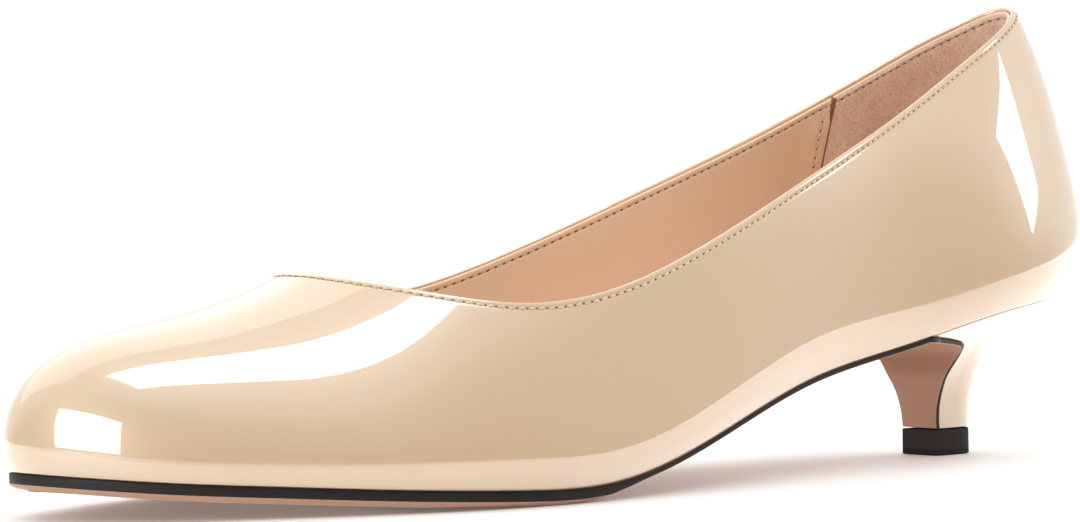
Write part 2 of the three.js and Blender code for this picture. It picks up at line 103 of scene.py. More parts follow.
# Between these two places the sections stand square to the length; past them they fan out.
SPINE_FROM = 0.158 * LENGTH
SPINE_TO = 0.691 * LENGTH
SPINE_SOFTNESS = 0.025 * LENGTH

QUARTER_TURN = math.pi / 2
HALVINGS = 36
EDGE_STEP = 1e-4


class Spline:
    """A cubic spline with straight ends, evaluated on whole arrays."""

    def __init__(self, knots, values):
        self.knots = np.asarray(knots, float)
        self.values = np.asarray(values, float)
        spans = np.diff(self.knots)
        slopes = np.diff(self.values) / spans
        system = np.eye(len(self.knots))
        turns = np.zeros(len(self.knots))
        for i in range(1, len(self.knots) - 1):
            system[i, i - 1 : i + 2] = spans[i - 1], 2 * (spans[i - 1] + spans[i]), spans[i]
            turns[i] = 6 * (slopes[i] - slopes[i - 1])
        self.bends = np.linalg.solve(system, turns)

    def __call__(self, x):
        x = np.asarray(x, float)
        i = np.clip(np.searchsorted(self.knots, x, side="right") - 1, 0, len(self.knots) - 2)
        span = self.knots[i + 1] - self.knots[i]
        b = (x - self.knots[i]) / span
        a = 1 - b
        curve = ((a**3 - a) * self.bends[i] + (b**3 - b) * self.bends[i + 1]) * span**2 / 6
        return a * self.values[i] + b * self.values[i + 1] + curve


def section_column(name, size):
    column = SECTION_COLUMNS.index(name)
    return Spline([row[0] * LENGTH for row in SECTIONS], [row[column] * size for row in SECTIONS])


bottom_at = section_column("bottom", HEEL_HEIGHT)
ridge_at = section_column("ridge", INSTEP_HEIGHT)
collar_at = section_column("collar", COLLAR_HEIGHT)
square_at = section_column("square", 1)
swell_at = section_column("swell", BALL_WIDTH)
swell_height_at = section_column("swell_at", BALL_WIDTH)
narrow_at = section_column("narrow", 1)


def mix(a, b, share):
    return a + (b - a) * share


def ease(start, end, x):
    share = np.clip((x - start) / (end - start), 0, 1)
    return share * share * (3 - 2 * share)


def solve(low, high, too_low):
    """Where a test turns from true to false between two arrays, by halving."""
    for _ in range(HALVINGS):
        middle = (low + high) / 2
        below = too_low(middle)
        low = np.where(below, middle, low)
        high = np.where(below, high, middle)
    return (low + high) / 2


def make_feather_line():
    inner = SECTIONS[1:-1]
    points = [(0, 0)] + [(row[0] * LENGTH, row[1] * BALL_WIDTH) for row in inner]
    points.append((LENGTH, SECTIONS[-1][1] * BALL_WIDTH))
    points += [(row[0] * LENGTH, -row[2] * BALL_WIDTH) for row in reversed(inner)]
    points = np.array(points, float)
    steps = np.hypot(*(np.roll(points, -1, 0) - points).T)
    knots = np.concatenate(([0], np.cumsum(steps)))
    round_trip = knots[-1]
    to_tip = knots[len(inner) + 1]
    wound = np.concatenate([knots[:-1] + turn * round_trip for turn in (-1, 0, 1)])
    along = Spline(wound, np.tile(points[:, 0], 3))
    across = Spline(wound, np.tile(points[:, 1], 3))

    def feather(edge):
        edge = np.asarray(edge, float)
        run = np.where(edge < 1, edge * to_tip, to_tip + (edge - 1) * (round_trip - to_tip))
        return along(run), across(run)

    return feather


feather_at = make_feather_line()


def edge_point(edge):
    """Along and across of the feather line, and its outward direction in plan."""
    along, across = feather_at(edge)
    next_along, next_across = feather_at(edge + EDGE_STEP)
    last_along, last_across = feather_at(edge - EDGE_STEP)
    forward = next_along - last_along
    sideways = next_across - last_across
    length = np.hypot(forward, sideways)
    return along, across, -sideways / length, forward / length


def runs_forward(edge):
    return feather_at(edge + EDGE_STEP)[0] > feather_at(edge - EDGE_STEP)[0]


HEEL_EDGE = float(solve(-0.1, 0.1, lambda edge: ~runs_forward(edge)))
TOE_EDGE = float(solve(0.9, 1.1, runs_forward))
HEEL_END = float(feather_at(HEEL_EDGE)[0])
TOE_END = float(feather_at(TOE_EDGE)[0])


def edge_at(along, side):
    """The parameter where the feather line passes a place along the last."""
    along = np.asarray(along, float)
    zero = np.zeros_like(along)
    if side > 0:
        return solve(zero + HEEL_EDGE, zero + TOE_EDGE, lambda edge: feather_at(edge)[0] < along)
    return solve(zero + TOE_EDGE, zero + 2 + HEEL_EDGE, lambda edge: feather_at(edge)[0] > along)


def place(along, across, up):
    return np.stack(np.broadcast_arrays(across, -np.asarray(along, float), up), -1)


def softened(x):
    return SPINE_SOFTNESS * np.logaddexp(0, x / SPINE_SOFTNESS)


def wall_point(edge, angle):
    """The outside of the upper, and how far it is above the topline."""
    foot_along, foot_across, out_along, out_across = edge_point(edge)
    spine = SPINE_TO - softened(SPINE_TO - (SPINE_FROM + softened(foot_along - SPINE_FROM)))
    power = 2 / square_at(foot_along)
    reach = np.clip(np.cos(angle), 0, 1) ** power
    along = spine + (foot_along - spine) * reach
    bottom = bottom_at(foot_along)
    height = (ridge_at(along) - bottom) * np.sin(angle) ** power
    step = height / swell_height_at(foot_along)
    out = swell_at(foot_along) * 2 * step / (1 + step * step)
    narrowed = 1 - narrow_at(foot_along) * (height / (COLLAR_HEIGHT - HEEL_HEIGHT)) ** 2
    across = foot_across * reach * narrowed
    point = place(along + out_along * out, across + out_across * out, bottom + height)
    return point, bottom + height - collar_at(along)


def unit(vectors):
    return vectors / np.maximum(np.linalg.norm(vectors, axis=-1, keepdims=True), 1e-12)


def wall_frame(edge, angle):
    """Point, outward normal and upward direction of the wall."""
    step = 1e-3
    here = wall_point(edge, angle)[0]
    around = wall_point(edge + step, angle)[0] - wall_point(edge - step, angle)[0]
    upwards = wall_point(edge, angle + step)[0] - here
    normal = unit(np.cross(upwards, around))
    return here, normal, unit(np.cross(around, normal))


def shell_point(edge, angle, depth):
    here, normal, _ = wall_frame(edge, angle)
    return here - normal * np.asarray(depth)[..., None]


COLLAR_STEPS = 181
COLUMN_STEPS = 241


def collar_angle(edge):
    """The angle at which each column of the wall reaches the topline."""
    steps = np.linspace(0, QUARTER_TURN, COLLAR_STEPS)
    above = wall_point(edge[:, None], steps[None, :])[1] >= 0
    reached = np.argmax(above, axis=1)
    return solve(steps[reached - 1], steps[reached], lambda angle: wall_point(edge, angle)[1] < 0)


def angle_at_height(edge, height):
    bottom = bottom_at(feather_at(edge)[0])
    zero = np.zeros_like(edge)

    def lower(angle):
        return wall_point(edge, angle)[0][..., 2] - bottom < height

    return solve(zero, zero + QUARTER_TURN / 2, lower)


class Wall:
    """Columns of the wall, measured by distance below the topline."""

    def __init__(self, edges):
        self.edges = edges
        self.tops = collar_angle(edges)
        shares = np.linspace(0, 1, COLUMN_STEPS) ** 1.5
        self.angles = self.tops[:, None] * shares[None, :]
        points = wall_point(edges[:, None], self.angles)[0]
        steps = np.linalg.norm(np.diff(points, axis=1), axis=-1)
        self.runs = np.concatenate([np.zeros((len(edges), 1)), np.cumsum(steps, axis=1)], axis=1)
        self.length = self.runs[:, -1]

    def angle(self, drop):
        """The angle at a distance below the topline, a number or one for each column."""
        wanted = np.clip(self.length - drop, 0, None)
        pairs = zip(wanted, self.runs, self.angles)
        return np.array([np.interp(run, runs, angles) for run, runs, angles in pairs])

    def row(self, drop, depth=0):
        return shell_point(self.edges, self.angle(drop), depth)

    def frame(self, drop):
        return wall_frame(self.edges, self.angle(drop))

    def rim(self, drop, depth_from, depth_to, steps):
        """A rolled edge between two depths, with its crest at the drop."""
        radius = (depth_to - depth_from) / 2
        here, normal, upward = self.frame(drop + radius)
        centre = here - normal * (depth_from + radius)
        turns = np.linspace(0, math.pi, steps)
        return [centre + radius * (normal * math.cos(turn) + upward * math.sin(turn)) for turn in turns]


# Along 0, across 0 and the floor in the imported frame, found from the top lift.
lift_low, lift_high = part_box("top_lift")
ORIGIN = np.array([(lift_low[0] + lift_high[0]) / 2 / MM, lift_low[1] / MM + BREAST_AT, 0])


def add_object(name, data):
    thing = bpy.data.objects.new(name, data)
    bpy.context.collection.objects.link(thing)
    return thing


def mesh_object(name, points, faces, materials, face_materials=None, smooth_angle=None):
    mesh = bpy.data.meshes.new(name)
    mesh.from_pydata(((np.asarray(points) + ORIGIN) * MM).tolist(), [], faces)
    for material in materials:
        mesh.materials.append(material)
    if face_materials is not None:
        mesh.polygons.foreach_set("material_index", face_materials)
    mesh.polygons.foreach_set("use_smooth", [True] * len(faces))
    if smooth_angle is not None:
        mesh.set_sharp_from_angle(angle=smooth_angle)
    mesh.update()
    return add_object(name, mesh)


def outward(points, faces):
    """The faces, turned round if they hold a negative volume."""
    quads = np.array([face for face in faces if len(face) == 4])
    a, b, c, d = (points[quads[:, i]] for i in range(4))
    volume = np.sum(np.cross(a, b) * c) + np.sum(np.cross(a, c) * d)
    return [face[::-1] for face in faces] if volume < 0 else faces


def grid_faces(rows, columns, wrap_rows, wrap_columns):
    r = np.arange(rows if wrap_rows else rows - 1)[:, None]
    c = np.arange(columns if wrap_columns else columns - 1)[None, :]
    r2 = (r + 1) % rows
    c2 = (c + 1) % columns
    corners = [r * columns + c, r * columns + c2, r2 * columns + c2, r2 * columns + c]
    return np.stack(np.broadcast_arrays(*corners), -1).reshape(-1, 4).tolist()


def ring_object(name, rows, materials, face_materials=None):
    """A closed ring: each row is a loop and the last row joins the first."""
    points = np.concatenate(rows)
    faces = outward(points, grid_faces(len(rows), len(rows[0]), True, True))
    return mesh_object(name, points, faces, materials, face_materials)


def loft_object(name, rows, materials, strip_materials=None):
    """A loft through loops that go down one half and up the other, with end caps."""
    size = len(rows[0])
    points = np.concatenate(rows)
    faces = grid_faces(len(rows), size, False, True)
    kinds = list(strip_materials or [0] * size) * (len(rows) - 1)
    end = (len(rows) - 1) * size
    for i in range(size // 2 - 1):
        faces.append([i, size - 1 - i, size - 2 - i, i + 1])
        faces.append([end + i, end + i + 1, end + size - 2 - i, end + size - 1 - i])
        kinds += [kinds[i], kinds[i]]
    return mesh_object(name, points, outward(points, faces), materials, kinds)


# Shader graphs: sockets with arithmetic, and one method for every other node.
class Value:
    def __init__(self, shader, socket):
        self.shader = shader
        self.socket = socket

    def math(self, operation, other):
        return self.shader.node("Math", {"operation": operation}, {0: self, 1: other})["Value"]

    def __add__(self, other):
        return self.math("ADD", other)

    def __mul__(self, other):
        return self.math("MULTIPLY", other)

    __radd__ = __add__
    __rmul__ = __mul__


class Outputs:
    def __init__(self, shader, node):
        self.shader = shader
        self.node = node

    def __getitem__(self, name):
        return Value(self.shader, self.node.outputs[name])


class Shader:
    def __init__(self, tree):
        self.tree = tree
        tree.nodes.clear()

    def node(self, kind, settings=None, sockets=None):
        made = self.tree.nodes.new(kind if "Node" in kind else "ShaderNode" + kind)
        for name, value in (settings or {}).items():
            if name == "stops":
                self.set_stops(made.color_ramp, value)
            else:
                setattr(made, name, value)
        for name, value in (sockets or {}).items():
            if isinstance(value, Value):
                self.tree.links.new(value.socket, made.inputs[name])
            elif value is not None:
                made.inputs[name].default_value = value
        return Outputs(self, made)

    def set_stops(self, ramp, stops):
        while len(ramp.elements) < len(stops):
            ramp.elements.new(1.0)
        for element, (position, colour) in zip(ramp.elements, stops):
            element.position = position
            element.color = (*colour, 1.0)

    def noise(self, scale, detail, roughness=0.5):
        sockets = {"Vector": self.where, "Scale": scale, "Detail": detail, "Roughness": roughness}
        return self.node("TexNoise", {}, sockets)["Fac"]

    def colours(self, factor, pair):
        sockets = {0: factor, 6: (*pair[0], 1), 7: (*pair[1], 1)}
        return self.node("Mix", {"data_type": "RGBA"}, sockets)[2]

    def ranged(self, value, start, end, low=0.0, high=1.0, curve="LINEAR"):
        sockets = {0: value, 1: start, 2: end, 3: low, 4: high}
        return self.node("MapRange", {"interpolation_type": curve}, sockets)[0]

    def bump(self, height, distance, strength, over=None):
        sockets = {"Height": height, "Distance": distance, "Strength": strength, "Normal": over}
        return self.node("Bump", {}, sockets)["Normal"]

    def surface(self, sockets):
        return self.node("BsdfPrincipled", {}, sockets)["BSDF"]


def tones(*colours):
    """Linear colours from display values out of 255."""
    return [tuple((value / 255) ** 2.2 for value in colour) for colour in colours]


def finish(name, build):
    """A material whose surface a function builds, in object coordinates."""
    material = bpy.data.materials.new(name)
    material.use_nodes = True
    shader = Shader(material.node_tree)
    shader.where = shader.node("TexCoord")["Object"]
    shader.node("OutputMaterial", {}, {"Surface": build(shader)})
    return material


PATENT = tones((213, 184, 150), (206, 175, 139))
LINING = tones((240, 210, 182), (230, 197, 166))
SUEDE = tones((214, 176, 152), (255, 226, 204))
THREAD = tones((232, 205, 172), (206, 176, 142))
# Needle-hole beads: a dark brown painted as the shade inside the holes.
NEEDLE_HOLE_SHADE = tones((128, 94, 68), (98, 70, 50))
# Darker brown of cut leather edges, also used for a painted shadow on the suede beside the lining's lap.
CUT_EDGE_AND_SHADE = tones((158, 108, 78), (128, 84, 60))
SOLE = tones((190, 147, 120), (168, 124, 98))
PAINT = tones((14, 10, 10), (22, 16, 16))
RUBBER = tones((34, 32, 31), (52, 48, 46))
PAPER = (0.86, 0.86, 0.86), (0.88, 0.88, 0.88)


def patent_leather(shader):
    cloud = shader.noise(9.0, 1.0)
    grain = shader.noise(900.0, 3.0)
    wave = shader.bump(shader.noise(28.0, 1.0), 0.0004, 0.12)
    return shader.surface({
        "Base Color": shader.colours(cloud, PATENT),
        "Roughness": 0.32 + 0.06 * grain,
        "Normal": shader.bump(grain, 0.00004, 0.05, wave),
        "Coat Weight": 1.0,
        "Coat Roughness": 0.015,
        "Coat IOR": 1.85,
    })


def lining_leather(shader):
    cloud = shader.noise(22.0, 3.0)
    cells = {"Vector": shader.where, "Scale": 1400.0}
    pores = shader.node("TexVoronoi", {"feature": "F1"}, cells)["Distance"]
    creases = shader.noise(420.0, 4.0, 0.65)
    height = creases * 0.6 + pores * 0.4
    return shader.surface({
        "Base Color": shader.colours(cloud, LINING),
        "Roughness": 0.5 + 0.12 * creases,
        "Normal": shader.bump(height, 0.00012, 0.5),
        "Sheen Weight": 0.08,
    })


def grip_suede(shader):
    cloud = shader.noise(60.0, 4.0, 0.7)
    nap = shader.noise(1800.0, 4.0, 0.75)
    shade = shader.ranged(cloud * 0.4 + nap * 0.6, start=0.4, end=0.6)
    return shader.surface({
        "Base Color": shader.colours(shade, SUEDE),
        "Roughness": 0.94,
        "Normal": shader.bump(nap, 0.0003, 0.7),
        "Sheen Weight": 0.35,
        "Sheen Roughness": 0.5,
    })


def one_grain(pair, scale, detail, roughness, uneven=None, dent=None, shine=None):
    """A finish whose tone, roughness and dents all follow one fine noise."""

    def build(shader):
        grain = shader.noise(scale, detail)
        return shader.surface({
            "Base Color": shader.colours(grain, pair),
            "Roughness": roughness + uneven * grain if uneven else roughness,
            "Specular IOR Level": shine,
            "Normal": shader.bump(grain, *dent) if dent else None,
        })

    return build


def sole_grain(shader):
    cloud = shader.noise(30.0, 4.0, 0.6)
    grain = shader.noise(1100.0, 4.0, 0.7)
    return shader.surface({
        "Base Color": shader.colours(cloud * 0.6 + grain * 0.4, SOLE),
        "Roughness": 0.55 + 0.15 * grain,
        "Normal": shader.bump(grain, 0.0001, 0.45),
    })


def studio_paper(shader):
    """White paper, brighter with distance, so that it is white to its end."""
    tooth = shader.noise(300.0, 2.0)
    away = shader.node("VectorMath", {"operation": "LENGTH"}, {0: shader.where})["Value"]
    share = shader.ranged(away, start=0.3, end=1.8, low=0.1, high=0.9, curve="SMOOTHSTEP")
    glow = shader.node("CombineXYZ", {}, {0: share, 1: share, 2: share})["Vector"]
    return shader.surface({
        "Base Color": shader.colours(tooth, PAPER),
        "Roughness": 0.6,
        "Specular IOR Level": 0.2,
        "Emission Color": glow,
        "Emission Strength": 1.0,
    })


patent = finish("patent", patent_leather)
lining = finish("lining", lining_leather)
suede = finish("suede", grip_suede)
thread = finish("thread", one_grain(THREAD, 2600.0, 2.0, 0.62, dent=(0.0001, 0.6)))
# Painted shade of the needle holes, as dark beads between the stitches.
needle_hole_shade = finish("needle_hole_shade", one_grain(NEEDLE_HOLE_SHADE, 1500.0, 2.0, 0.8))
# Cut leather edges, and a painted shadow on the suede along the lining's lap.
cut_edge_and_shade = finish("cut_edge_and_shade", one_grain(CUT_EDGE_AND_SHADE, 900.0, 3.0, 0.85))
edge_paint = one_grain(PAINT, 700.0, 3.0, 0.5, 0.14, (0.00005, 0.4), shine=0.25)
black_edge = finish("black_edge", edge_paint)
sole_face = finish("sole_face", sole_grain)
lift_face = one_grain(RUBBER, 1600.0, 3.0, 0.7, 0.2, (0.00008, 0.5), shine=0.25)
rubber = finish("rubber", lift_face)
paper = finish("paper", studio_paper)


# Upper: patent leather from under the feather line to a folded topline. Drops are
# distances below the topline, depths are measured inwards from the outside of the upper.
UPPER_COLUMNS = 720
LINING_COLUMNS = 480
# Rows on the hidden back of a lining.
BACK_SHARES = np.linspace(1, 0.05, 18)


def topline_sag(drop):
    """The leather lies a little lower along its stitch row."""
    return 0.12 * math.exp(-(((drop - STITCH_DROP) / 0.3) ** 2))


def make_upper_leather():
    wall = Wall(np.arange(UPPER_COLUMNS) * 2 / UPPER_COLUMNS)
    drops = [0.55, 0.7, 0.85, 1.0, 1.12, 1.24, 1.34, 1.46, 1.56, 1.68, 1.82, 2.0, 2.3]
    drops += [2.7, 3.3, 4.1, 5.0]
    open_length = wall.length - drops[-1]
    open_rows = 62
    rows = []
    foot_along, foot_across, out_along, out_across = edge_point(wall.edges)
    for tuck, rise in ((2.6, -0.22), (1.2, -0.22), (0.5, -0.2), (0.18, -0.1)):
        along = foot_along - out_along * tuck
        across = foot_across - out_across * tuck
        rows.append(place(along, across, bottom_at(foot_along) + rise))
    rows.append(wall.row(wall.length))
    for share in (np.arange(open_rows - 1, 0, -1) / open_rows) ** 0.93:
        rows.append(wall.row(drops[-1] + open_length * share))
    for drop in drops[::-1]:
        rows.append(wall.row(drop, topline_sag(drop)))
    rows += wall.rim(0, 0, LEATHER, 9)[1:]
    inside_top = 2
    for share in np.linspace(0, 0.97, 20):
        rows.append(wall.row(inside_top + (wall.length - inside_top) * share, LEATHER))
    return ring_object("upper_leather", rows, [patent])


def grip_edges():
    """Edge parameters of the grip's seams, the medial one and then the lateral."""
    start = float(edge_at(GRIP_SEAM_AT, -1)) - 2
    end = float(edge_at(GRIP_SEAM_AT, 1))
    return start, end


def ahead_of_seam(edges):
    """Distance of columns in front of the nearer seam of the heel grip."""
    start, end = grip_edges()
    edges = np.asarray(edges) % 2
    return np.minimum(edges - end, start + 2 - edges) * LENGTH


def lap_depth(ahead, drop=10.0):
    """Depth of the lining leather, which laps over the heel grip at the seams."""
    lip = np.sqrt(1 - (1 - np.clip((ahead + LAP_LIP) / LAP_LIP, 0, 1)) ** 2)
    swollen = lip * (1 - ease(0.5, 7, ahead)) * ease(0.8, 7, drop)
    pulled = 0.16 * np.exp(-(((ahead - SEAM_STITCH_AT) / 0.4) ** 2)) * ease(1.6, 3, drop)
    return WALL + (LAP_DEPTH - WALL) * swollen - pulled


def make_vamp_lining():
    """Smooth leather all round; behind the seams it is the thin backing of the grip."""
    start, end = grip_edges()
    lip = np.linspace(-LAP_LIP, 0, 7)
    sewn_strip = np.linspace(0.2, 3, 15)
    near_seam = np.array([-0.8, *lip, *sewn_strip, 3.5, 4.2, 5, 6]) / LENGTH
    columns = np.arange(LINING_COLUMNS) * 2 / LINING_COLUMNS
    wall = Wall(np.unique(np.concatenate([columns, end + near_seam, start + 2 - near_seam])))
    ahead = ahead_of_seam(wall.edges)
    rows = []
    top_drops = [LINING_DROP + 0.4, 1.1, 1.3, 1.45, 1.57, 1.7, 1.83, 1.95, 2.1, 2.3, 2.6, 3.0, 3.5, 4.5]
    for drop in top_drops:
        rows.append(wall.row(drop, lap_depth(ahead, drop) - 2 * topline_sag(drop - INNER_ROW_LOWER)))
    above_foot = 1.2
    open_length = wall.length - top_drops[-1] - above_foot
    for share in np.linspace(0, 1, 46)[1:]:
        rows.append(wall.row(top_drops[-1] + open_length * share, lap_depth(ahead)))
    for share in BACK_SHARES:
        rows.append(wall.row(top_drops[-1] + open_length * share, LINING_DEPTH))
    rows.append(wall.row(top_drops[0], LINING_DEPTH))
    rows += wall.rim(LINING_DROP, LINING_DEPTH, WALL, 7)[1:-1]
    ahead_of_face = (ahead + np.roll(ahead, -1)) / 2
    raw = np.where((ahead_of_face > -LAP_LIP - 0.4) & (ahead_of_face < -0.6 * LAP_LIP), 1, 0)
    return ring_object("vamp_lining", rows, [lining, cut_edge_and_shade], np.tile(raw, len(rows)).tolist())


def make_heel_grip():
    """Suede behind the seams, with its two ends tucked under the lining leather."""
    start, end = grip_edges()
    tucked = 1.0 / LENGTH
    start -= tucked
    end += tucked
    border = np.array([0, 0.1, 0.25, 0.45, 0.7, 1.0, 1.7, 2.3, 3.0]) / LENGTH
    middle = np.linspace(start + border[-1] * 1.5, end - border[-1] * 1.5, 150)
    edges = np.concatenate([start + border, middle, (end - border)[::-1]])
    run = np.minimum(edges - start, end - edges) * LENGTH
    thick = np.sqrt(np.clip(1 - (1 - np.clip(run / 0.45, 0, 1)) ** 2, 0, 1))
    wall = Wall(edges % 2)
    foot = wall.length - angle_length(wall, INSOLE_THICKNESS + 0.15)
    back = WALL + 0.02
    drops = [LINING_DROP + 0.35, 1.1, 1.3, 1.45, 1.57, 1.7, 1.83, 1.95, 2.1, 2.3, 2.8, 4.0]
    rows = [wall.row(LINING_DROP + 0.25, back)]
    for drop in drops:
        pulled = 2 * topline_sag(drop - INNER_ROW_LOWER)
        rise = (GRIP_DEPTH - back) * thick * ease(0.6, 1.2, drop) - pulled
        rows.append(wall.row(drop, back + np.maximum(rise, 0)))
    for share in np.linspace(0, 1, 40)[1:]:
        rows.append(wall.row(mix(drops[-1], foot, share), back + (GRIP_DEPTH - back) * thick))
    for share in BACK_SHARES:
        rows.append(wall.row(mix(drops[-1], foot, share), back))
    points = np.concatenate(rows)
    faces = grid_faces(len(rows), len(edges), True, False)
    size = len(edges)
    # A strip of suede just beyond the lap's edge takes the darker cut-edge colour: a painted shadow of
    # the lap.
    shaded = (run[1:] + run[:-1]) / 2
    kinds = np.tile(np.where((shaded > 1) & (shaded < 2.3), 1, 0), len(rows)).tolist()
    for column in (0, size - 1):
        cap = [row * size + column for row in range(len(rows))]
        faces.append(cap if column else cap[::-1])
    return mesh_object("heel_grip", points, faces, [suede, cut_edge_and_shade], [*kinds, 1, 1])


def angle_length(wall, height):
    """Distance up the wall, from the feather line, to a height above it."""
    angles = angle_at_height(wall.edges, height)
    pairs = zip(angles, wall.angles, wall.runs)
    return np.array([np.interp(angle, known, runs) for angle, known, runs in pairs])


def loop_of(half):
    return np.concatenate([half(1), half(-1)[::-1]])


def make_sock():
    """Insole cover: dished across, with its rim turned down against the lining."""
    tip_margin = 0.01
    inset = WALL + 0.08
    turned_down = 0.25
    dish = 0.8
    closer_at_ends = (1 - np.cos(np.pi * np.linspace(0, 1, 260))) / 2
    stations = mix(HEEL_END + tip_margin, TOE_END - tip_margin, closer_at_ends)
    spread = np.linspace(0, 1, 15)[1:]
    under_spread = np.array([[1.0], [0.5], [0.1]])
    relief = turned_down - dish * (1 - spread**2) - turned_down * ease(0.93, 1.0, spread)
    rim, foot = {}, {}
    for side in (1, -1):
        edges = edge_at(stations, side)
        rim[side] = shell_point(edges, angle_at_height(edges, INSOLE_THICKNESS - turned_down), inset)
        foot[side] = shell_point(edges, np.zeros_like(edges), inset + 1)
    rows = []
    for i in range(len(stations)):
        middle = (rim[1][i] + rim[-1][i]) / 2
        under_middle = (foot[1][i] + foot[-1][i]) / 2

        def half(side):
            line = mix(middle, rim[side][i], spread[:, None])
            line[:, 2] += relief
            return np.concatenate([line, mix(under_middle, foot[side][i], under_spread)])

        rows.append(loop_of(half))
    return loft_object("sock", rows, [lining])


# The heel: its foot in plan, its swept side and the flap of the sole that covers its breast.
LIFT_STRAIGHT = 0.4
LIFT_POWER = 2 / 2.6
SEAT_INSET = 0.4
HEEL_FRONT = 60
FRONT_EXTRA = 3
HEEL_FOOT = LIFT_HEIGHT + GAP
FRONT_EDGE = {side: float(edge_at(HEEL_FRONT, side)) for side in (1, -1)}


def lift_point(share, extra):
    straight = LIFT_DEPTH * LIFT_STRAIGHT
    share = np.asarray(share, float)
    angle = QUARTER_TURN * np.clip((share - LIFT_STRAIGHT) / (1 - LIFT_STRAIGHT), 0, 1)
    front = BREAST_AT - mix(-extra, straight, share / LIFT_STRAIGHT)
    back = BREAST_AT - straight - (LIFT_DEPTH - straight) * np.sin(angle) ** LIFT_POWER
    across = LIFT_WIDTH / 2 * np.clip(np.cos(angle), 0, 1) ** LIFT_POWER
    return np.where(share < LIFT_STRAIGHT, front, back), across


def heel_side(share, down, side):
    """The heel's side: share from ahead of the breast to the back, down from the seat."""
    edge = mix(FRONT_EDGE[side], HEEL_EDGE if side > 0 else 2 + HEEL_EDGE, share)
    seat_along, seat_across, out_along, out_across = edge_point(edge)
    foot_along, foot_across = lift_point(share, FRONT_EXTRA)
    swept = 1 - (1 - down) ** HEEL_FLARE
    along = mix(seat_along - out_along * SEAT_INSET, foot_along, swept)
    across = mix(seat_across - out_across * SEAT_INSET, foot_across * side, swept)
    return place(along, across, mix(bottom_at(seat_along) - GAP, HEEL_FOOT, down))


def heel_reach(along, up, side):
    """How far out the heel's side stands at a place in side view."""

    def sample(share):
        seat = heel_side(share, 0, side)[..., 2]
        return heel_side(share, np.clip((seat - up) / (seat - HEEL_FOOT), 0, 1), side)

    zero = np.zeros_like(np.asarray(along, float))
    share = solve(zero, zero + 1, lambda value: -sample(value)[..., 1] > along)
    return np.abs(sample(share)[..., 0])


ARCH = 2.4
# The flap from the wing of the heel to the top lift: how far ahead of the breast and how
# high, in shares of the wing's place, and how much of the arch it has.
FLAP = (
    (1.000, 1.000, 0.00),
    (0.712, 0.979, 0.15),
    (0.466, 0.955, 0.50),
    (0.245, 0.928, 0.92),
    (0.123, 0.894, 1.00),
    (0.067, 0.840, 0.90),
    (0.050, 0.761, 0.65),
    (0.053, 0.601, 0.28),
    (0.036, 0.473, 0.12),
    (0.022, 0.335, 0.04),
    (0.010, 0.149, 0.00),
    (0.000, 0.000, 0.00),
)
WAIST_FROM = 0.655 * LENGTH
WAIST_TO = 0.56 * LENGTH
BARE_EDGE = 0.2


def sole_thickness(along):
    return mix(WAIST_THICKNESS, SOLE_THICKNESS, ease(WAIST_TO, WAIST_FROM, along))


class FlapProfile:
    """The sole's underside from the wing of the heel (share 0) to the top lift (share 1)."""

    def __init__(self):
        wing_up = float(bottom_at(WING_AT)) - GAP - WAIST_THICKNESS
        alongs = np.array([mix(BREAST_AT, WING_AT, row[0]) for row in FLAP])
        ups = np.array([mix(HEEL_FOOT, wing_up, row[1]) for row in FLAP])
        knots = np.concatenate(([0], np.cumsum(np.hypot(np.diff(alongs), np.diff(ups)))))
        self.length = knots[-1]
        self.along_at = Spline(knots, alongs)
        self.up_at = Spline(knots, ups)
        self.arch_at = Spline(knots, [row[2] * ARCH for row in FLAP])

    def __call__(self, share):
        run = np.asarray(share, float) * self.length
        step = 0.05
        forward = self.along_at(run + step) - self.along_at(run - step)
        rise = self.up_at(run + step) - self.up_at(run - step)
        size = np.hypot(forward, rise)
        thickness = mix(WAIST_THICKNESS, FLAP_THICKNESS, ease(0.1, 0.6, share))
        spot = self.along_at(run), self.up_at(run), self.arch_at(run)
        return *spot, rise / size, -forward / size, thickness


flap_at = FlapProfile()

PAINTED_MOST = 0.85
EDGE_SWELL = 0.05
THIN_BEVEL = 0.35
FORE_BEVEL = 3.6

# One section of the sole, in shares of its parts: from the middle of the upper face out
# over the painted edge and the bevel, and back under.
UPPER_SPREAD = np.linspace(0, 1, 10)[1:]
EDGE_STEPS = np.linspace(0, 1, 6)[1:]
BEVEL_STEPS = np.linspace(0, 1, 8)[1:]
UNDER_SPREAD = np.linspace(1, 0, 15)[1:-1]


def sole_half(top_middle, under_middle, corner):
    """Points of half a section; corner(depth, inset) is a point near the sole's edge, with
    depth as a share of the thickness from the insole side."""
    painted, bevel_width = corner.painted, corner.bevel_width
    points = [mix(top_middle, corner(0, 0), share) for share in UPPER_SPREAD]
    points += [corner(painted * step, -EDGE_SWELL * math.sin(math.pi * step)) for step in EDGE_STEPS]
    for step in BEVEL_STEPS:
        turn = QUARTER_TURN * step
        points.append(corner(mix(painted, 1, math.sin(turn)), bevel_width * (1 - math.cos(turn))))
    points += [mix(under_middle, points[-1], share) for share in UNDER_SPREAD]
    return np.array(points)


class ForeCorner:
    """The sole's edge ahead of the heel, at one place along it."""

    def __init__(self, along, side):
        self.foot = [float(value) for value in edge_point(edge_at(along, side))]
        self.top = float(bottom_at(along)) - GAP
        self.thickness = float(sole_thickness(along))
        self.painted = min(PAINTED_MOST, EDGE_PAINTED / self.thickness)
        self.bevel_width = mix(THIN_BEVEL, FORE_BEVEL, float(ease(WAIST_TO, WAIST_FROM, along)))

    def __call__(self, depth, inset):
        along, across, out_along, out_across = self.foot
        inset = inset + BARE_EDGE
        up = max(0, self.top - self.thickness * depth)
        return np.array([across - out_across * inset, -(along - out_along * inset), up])


